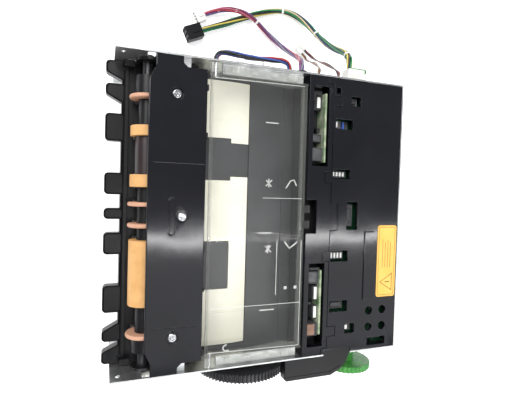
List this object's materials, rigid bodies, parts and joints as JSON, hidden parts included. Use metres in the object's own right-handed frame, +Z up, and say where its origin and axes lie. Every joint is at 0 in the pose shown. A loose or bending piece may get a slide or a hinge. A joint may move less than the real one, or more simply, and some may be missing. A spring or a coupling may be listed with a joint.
{
  "type": "bill validator",
  "caption": "Full-width banknote validator module: comb entry, tan rollers, glossy covers, hinged clear window, gear side with green hand wheel and loose cables.",
  "frame": {"origin": "centre of the base plate's underside, between the side plates", "axes": "+X with the notes, from the toothed entry to the exit slot; +Y across the note, away from the gear train; +Z up, out of the covers"},
  "size_m": [0.2385, 0.3349, 0.097],
  "materials": {
    "zinc_steel": "bright zinc plate",
    "steel": "ground steel",
    "black_plastic": "fine satin moulding",
    "gloss_black": "glossy moulding",
    "grey_plastic": "satin moulding",
    "cream_plastic": "smooth light moulding",
    "tan_rubber": "smooth tan rubber",
    "ring_rubber": "pinkish tan rubber",
    "brown_plastic": "dark purple brown tube",
    "clear_plastic": "clear polycarbonate",
    "green_board": "solder-masked board",
    "part_plastic": "connector and chip bodies",
    "yellow_label": "printed film",
    "green_plastic": "bright green moulding",
    "white_nylon": "natural nylon",
    "rubber_black": "black rubber",
    "wire_dark": "mixed wire insulation",
    "wire_violet": "violet and red wire insulation",
    "wire_brown": "brown wire insulation",
    "motor_steel": "nickel-plated can"
  },
  "bodies": {
    "chassis": {"side_plate_left": "zinc_steel", "side_plate_right": "zinc_steel", "base_plate": "zinc_steel", "rear_plate": "zinc_steel", "tie_rods": "steel", "screws": "steel", "entry_comb": "black_plastic", "entry_guide": "black_plastic", "lower_guide_cream": "cream_plastic", "lower_guide_dark": "grey_plastic", "rear_lower_guide": "black_plastic", "front_cover": "gloss_black", "cover_beam": "zinc_steel", "shaft_bearings": "black_plastic", "hinge_pins": "steel", "sensor_bridge": "gloss_black", "upper_image_sensor": "black_plastic", "lower_image_sensor": "black_plastic", "sensor_boards": "green_board", "sensor_connectors": "part_plastic", "rear_cover": "gloss_black", "main_board": "green_board", "board_parts": "part_plastic", "warning_label": "yellow_label", "gear_guard": "grey_plastic", "gear_axles": "steel", "drive_motor": "motor_steel", "harness_header": "white_nylon", "cable_grommets": "rubber_black", "harness_clips": "white_nylon", "side_harness": "wire_dark", "main_cable": "wire_dark", "main_cable_plug": "black_plastic", "aux_cable": "wire_violet", "aux_cable_plug": "white_nylon", "sensor_leads": "wire_brown", "sensor_lead_plug": "white_nylon"},
    "window": {"window_guide": "clear_plastic"},
    "drive_gear_set": {"drive_gear": "black_plastic"},
    "entry_roller": {"entry_shaft": "steel", "entry_rollers": "tan_rubber", "entry_rings": "ring_rubber", "entry_sleeve": "brown_plastic", "entry_hubs": "grey_plastic", "entry_gear": "black_plastic"},
    "feed_roller": {"feed_roller_shaft": "rubber_black", "feed_gear": "black_plastic"},
    "mid_roller": {"mid_roller_shaft": "rubber_black", "mid_gear": "black_plastic"},
    "exit_roller": {"exit_roller_shaft": "rubber_black", "exit_gear": "black_plastic"},
    "entry_pinch": {"entry_pinch_rollers": "grey_plastic"},
    "feed_pinch": {"feed_pinch_rollers": "grey_plastic"},
    "mid_pinch": {"mid_pinch_rollers": "grey_plastic"},
    "exit_pinch": {"exit_pinch_rollers": "grey_plastic"},
    "front_idler": {"front_idler_gear": "black_plastic"},
    "entry_idler": {"entry_idler_gear": "black_plastic"},
    "rear_idler": {"rear_idler_gear": "black_plastic"},
    "motor_rotor": {"motor_pinion": "steel"},
    "hand_wheel_set": {"hand_wheel": "green_plastic"}
  },
  "joints": [
    {"name": "window_hinge", "type": "hinge", "parent": "chassis", "child": "window", "pos_m": [-0.0475, 0, 0.092], "axis": [0, -1, 0], "range_deg": [0, 80]},
    {"name": "drive_gear_spin", "type": "hinge", "parent": "chassis", "child": "drive_gear_set", "pos_m": [-0.0115, 0, 0.057], "axis": [0, 1, 0], "continuous": true},
    {"name": "front_idler_spin", "type": "hinge", "parent": "chassis", "child": "front_idler", "pos_m": [-0.045, 0, 0.06282], "axis": [0, 1, 0], "continuous": true},
    {"name": "feed_roller_spin", "type": "hinge", "parent": "chassis", "child": "feed_roller", "pos_m": [-0.0645, 0, 0.073], "axis": [0, 1, 0], "continuous": true},
    {"name": "entry_idler_spin", "type": "hinge", "parent": "chassis", "child": "entry_idler", "pos_m": [-0.07783, 0, 0.06871], "axis": [0, 1, 0], "continuous": true},
    {"name": "entry_roller_spin", "type": "hinge", "parent": "chassis", "child": "entry_roller", "pos_m": [-0.0935, 0, 0.0765], "axis": [0, 1, 0], "continuous": true},
    {"name": "rear_idler_spin", "type": "hinge", "parent": "chassis", "child": "rear_idler", "pos_m": [0.0314, 0, 0.0599], "axis": [0, 1, 0], "continuous": true},
    {"name": "mid_roller_spin", "type": "hinge", "parent": "chassis", "child": "mid_roller", "pos_m": [0.0595, 0, 0.073], "axis": [0, 1, 0], "continuous": true},
    {"name": "hand_wheel_set_spin", "type": "hinge", "parent": "chassis", "child": "hand_wheel_set", "pos_m": [0.0825, 0, 0.073], "axis": [0, 1, 0], "continuous": true},
    {"name": "exit_roller_spin", "type": "hinge", "parent": "chassis", "child": "exit_roller", "pos_m": [0.1055, 0, 0.073], "axis": [0, 1, 0], "continuous": true},
    {"name": "motor_rotor_spin", "type": "hinge", "parent": "chassis", "child": "motor_rotor", "pos_m": [0.01855, 0, 0.02695], "axis": [0, 1, 0], "continuous": true},
    {"name": "entry_pinch_spin", "type": "hinge", "parent": "chassis", "child": "entry_pinch", "pos_m": [-0.0935, 0, 0.0567], "axis": [0, 1, 0], "continuous": true},
    {"name": "feed_pinch_spin", "type": "hinge", "parent": "chassis", "child": "feed_pinch", "pos_m": [-0.0645, 0, 0.0587], "axis": [0, 1, 0], "continuous": true},
    {"name": "mid_pinch_spin", "type": "hinge", "parent": "chassis", "child": "mid_pinch", "pos_m": [0.0595, 0, 0.0587], "axis": [0, 1, 0], "continuous": true},
    {"name": "exit_pinch_spin", "type": "hinge", "parent": "chassis", "child": "exit_pinch", "pos_m": [0.1055, 0, 0.0587], "axis": [0, 1, 0], "continuous": true}
  ],
  "couplings": [
    {"joint": "front_idler_spin", "follows": "drive_gear_spin", "ratio": -1.4286},
    {"joint": "feed_roller_spin", "follows": "drive_gear_spin", "ratio": 2.5},
    {"joint": "entry_idler_spin", "follows": "drive_gear_spin", "ratio": -3.3333},
    {"joint": "entry_roller_spin", "follows": "drive_gear_spin", "ratio": 1.7391},
    {"joint": "rear_idler_spin", "follows": "drive_gear_spin", "ratio": -0.86957},
    {"joint": "mid_roller_spin", "follows": "drive_gear_spin", "ratio": 2.5},
    {"joint": "hand_wheel_set_spin", "follows": "drive_gear_spin", "ratio": -1.3333},
    {"joint": "exit_roller_spin", "follows": "drive_gear_spin", "ratio": 2.5},
    {"joint": "motor_rotor_spin", "follows": "drive_gear_spin", "ratio": -6.0833},
    {"joint": "entry_pinch_spin", "follows": "drive_gear_spin", "ratio": -2.5},
    {"joint": "feed_pinch_spin", "follows": "drive_gear_spin", "ratio": -3.3333},
    {"joint": "mid_pinch_spin", "follows": "drive_gear_spin", "ratio": -3.3333},
    {"joint": "exit_pinch_spin", "follows": "drive_gear_spin", "ratio": -3.3333}
  ]
}
